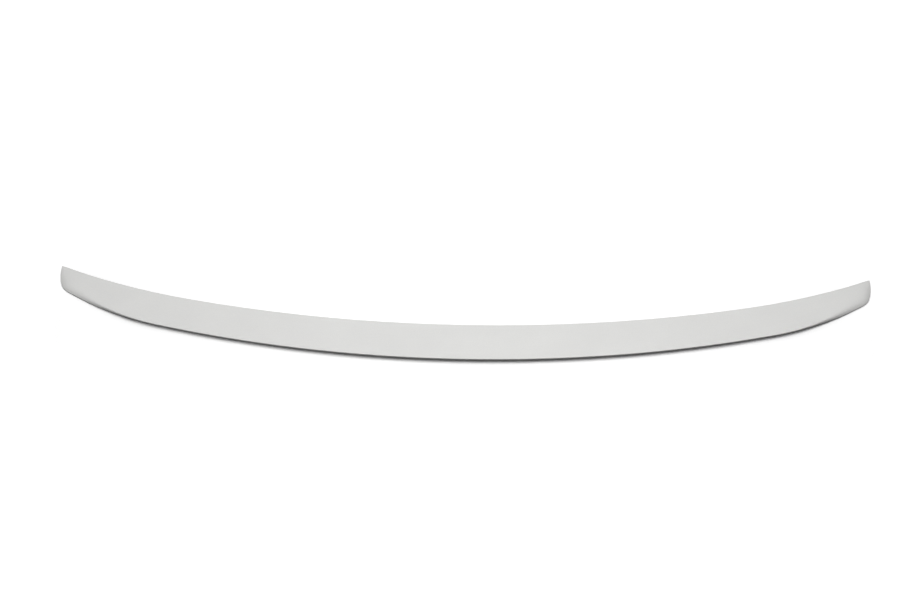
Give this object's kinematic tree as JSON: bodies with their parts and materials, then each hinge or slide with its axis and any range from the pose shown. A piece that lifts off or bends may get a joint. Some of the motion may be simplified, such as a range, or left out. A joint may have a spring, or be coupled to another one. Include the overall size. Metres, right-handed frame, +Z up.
{
  "type": "boot lid lip spoiler",
  "caption": "Long bowed lip spoiler for the rear edge of a car's boot lid, moulded in one piece with a thin leading edge, an upturned undercut tail and rounded ends, in grey primer.",
  "frame": {"origin": "middle of the front bonding land, on the centre line, in the plane of the bonding face", "axes": "+X across the car to its right, +Y forward, +Z up out of the boot lid"},
  "size_m": [1.18, 0.1704, 0.0091],
  "materials": {
    "primer": "matt grey primer"
  },
  "bodies": {
    "root": {"lip_spoiler": "primer"}
  },
  "joints": []
}
